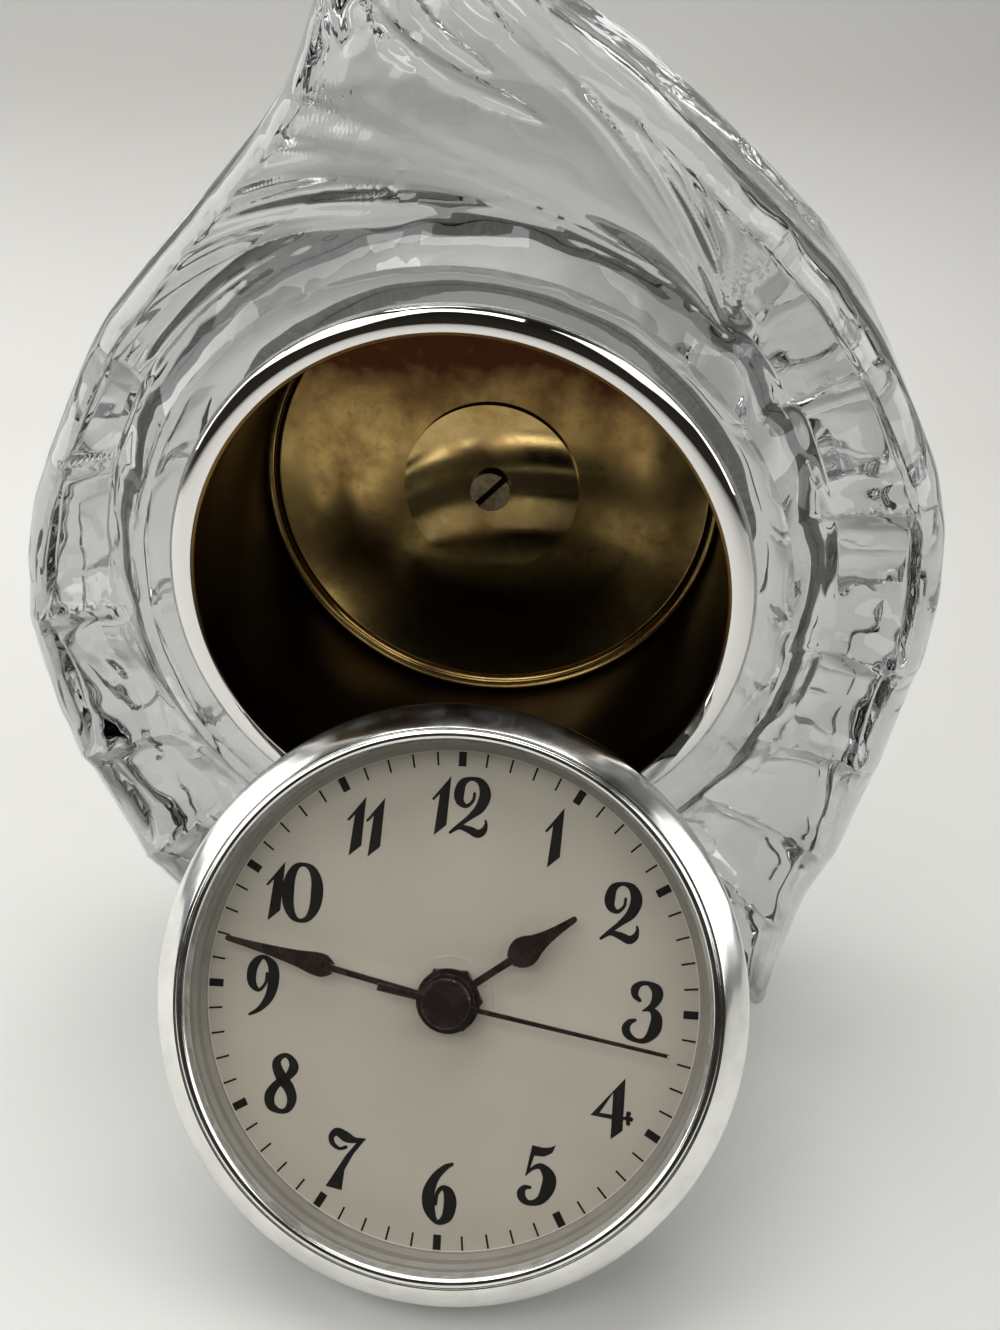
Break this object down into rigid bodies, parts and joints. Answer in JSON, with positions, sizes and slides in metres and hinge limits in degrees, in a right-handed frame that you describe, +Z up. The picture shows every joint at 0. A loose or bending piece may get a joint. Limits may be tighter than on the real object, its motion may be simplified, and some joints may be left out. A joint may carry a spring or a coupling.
{
  "type": "crystal mantel clock",
  "caption": "Flame-shaped crystal mantel clock with a metal-lined bore and its round quartz insert clock taken out and leaning in front.",
  "frame": {"origin": "centre of the flat base under the crystal body", "axes": "+Z up; the bore and the dial face -Y; +X to the right seen from the front"},
  "size_m": [0.152, 0.1148, 0.196],
  "materials": {
    "crystal": "clear lead crystal, pressed and fire polished",
    "cup_nickel": "spun brass, nickel plated, slightly tarnished inside",
    "chrome_trim": "polished chrome plate",
    "steel": "bright turned steel",
    "seal_rubber": "matt black rubber",
    "clear_seal": "soft clear vinyl",
    "lens_glass": "clear flat mineral glass",
    "ring_grey": "satin grey paint",
    "dial_paint": "off-white matt paint, printed black",
    "can_steel": "zinc plated pressed steel",
    "case_black": "black moulded plastic",
    "gear_white": "natural acetal",
    "brass": "bright turned brass",
    "hand_black": "gloss brown-black lacquer on aluminium",
    "copper": "enamelled copper wire",
    "board_green": "green solder mask",
    "cell_jacket": "plain grey printed steel jacket",
    "magnet": "sintered magnet"
  },
  "bodies": {
    "case": {"crystal_body": "crystal", "cup_shell": "cup_nickel", "rim_gasket": "clear_seal", "clamp_disc": "cup_nickel", "clamp_screw": "steel", "rear_cover": "chrome_trim", "rear_seal": "seal_rubber"},
    "insert": {"bezel": "chrome_trim", "lens": "lens_glass", "lens_seal": "seal_rubber", "reflector_ring": "ring_grey", "dial": "dial_paint", "insert_can": "can_steel", "grip_band": "seal_rubber", "movement_front_case": "case_black", "movement_back_case": "case_black", "train_plate": "case_black", "centre_bush": "brass", "dial_washer": "seal_rubber", "dial_nut": "brass", "stator": "steel", "coil_bobbin": "gear_white", "coil_winding": "copper", "circuit_board": "board_green", "quartz_oscillator": "steel", "battery": "cell_jacket", "battery_contact_positive": "steel", "battery_contact_negative": "steel"},
    "hour": {"hour_wheel": "gear_white", "hour_hand": "hand_black"},
    "minute": {"centre_wheel": "gear_white", "minute_hand": "hand_black"},
    "second": {"second_wheel": "gear_white", "second_hand": "hand_black", "second_hand_cap": "hand_black"},
    "third": {"third_wheel": "gear_white"},
    "intermediate": {"intermediate_wheel": "gear_white"},
    "rotor_group": {"rotor": "gear_white", "rotor_magnet": "magnet"},
    "motion": {"motion_wheel": "gear_white"},
    "setting": {"setting_knob": "gear_white"}
  },
  "joints": [
    {"name": "insert_lift", "type": "slide", "parent": "case", "child": "insert", "axis": [0, -0.8453, 0.5344], "range_m": [0, 0.12]},
    {"name": "hour_turn", "type": "hinge", "parent": "insert", "child": "hour", "pos_m": [0.0032, -0.06229, 0.04435], "axis": [0, -0.8453, 0.5344], "continuous": true},
    {"name": "minute_turn", "type": "hinge", "parent": "insert", "child": "minute", "pos_m": [0.0032, -0.06229, 0.04435], "axis": [0, -0.8453, 0.5344], "continuous": true},
    {"name": "second_turn", "type": "hinge", "parent": "insert", "child": "second", "pos_m": [0.0032, -0.06229, 0.04435], "axis": [0, -0.8453, 0.5344], "continuous": true},
    {"name": "third_turn", "type": "hinge", "parent": "insert", "child": "third", "pos_m": [-0.00316, -0.05889, 0.04973], "axis": [0, -0.8453, 0.5344], "continuous": true},
    {"name": "intermediate_turn", "type": "hinge", "parent": "insert", "child": "intermediate", "pos_m": [0.0032, -0.0587, 0.05003], "axis": [0, -0.8453, 0.5344], "continuous": true},
    {"name": "rotor_turn", "type": "hinge", "parent": "insert", "child": "rotor_group", "pos_m": [0.0032, -0.05543, 0.05521], "axis": [0, -0.8453, 0.5344], "continuous": true},
    {"name": "motion_turn", "type": "hinge", "parent": "insert", "child": "motion", "pos_m": [0.00829, -0.05957, 0.04865], "axis": [0, -0.8453, 0.5344], "continuous": true},
    {"name": "setting_turn", "type": "hinge", "parent": "insert", "child": "setting", "pos_m": [0.01402, -0.05651, 0.0535], "axis": [0, -0.8453, 0.5344], "continuous": true}
  ],
  "couplings": [
    {"joint": "minute_turn", "follows": "second_turn", "ratio": 0.016667},
    {"joint": "hour_turn", "follows": "second_turn", "ratio": 0.0013889},
    {"joint": "third_turn", "follows": "second_turn", "ratio": -0.125},
    {"joint": "intermediate_turn", "follows": "second_turn", "ratio": -5},
    {"joint": "rotor_turn", "follows": "second_turn", "ratio": 30},
    {"joint": "motion_turn", "follows": "second_turn", "ratio": -0.0055556},
    {"joint": "setting_turn", "follows": "second_turn", "ratio": 0.011111}
  ]
}
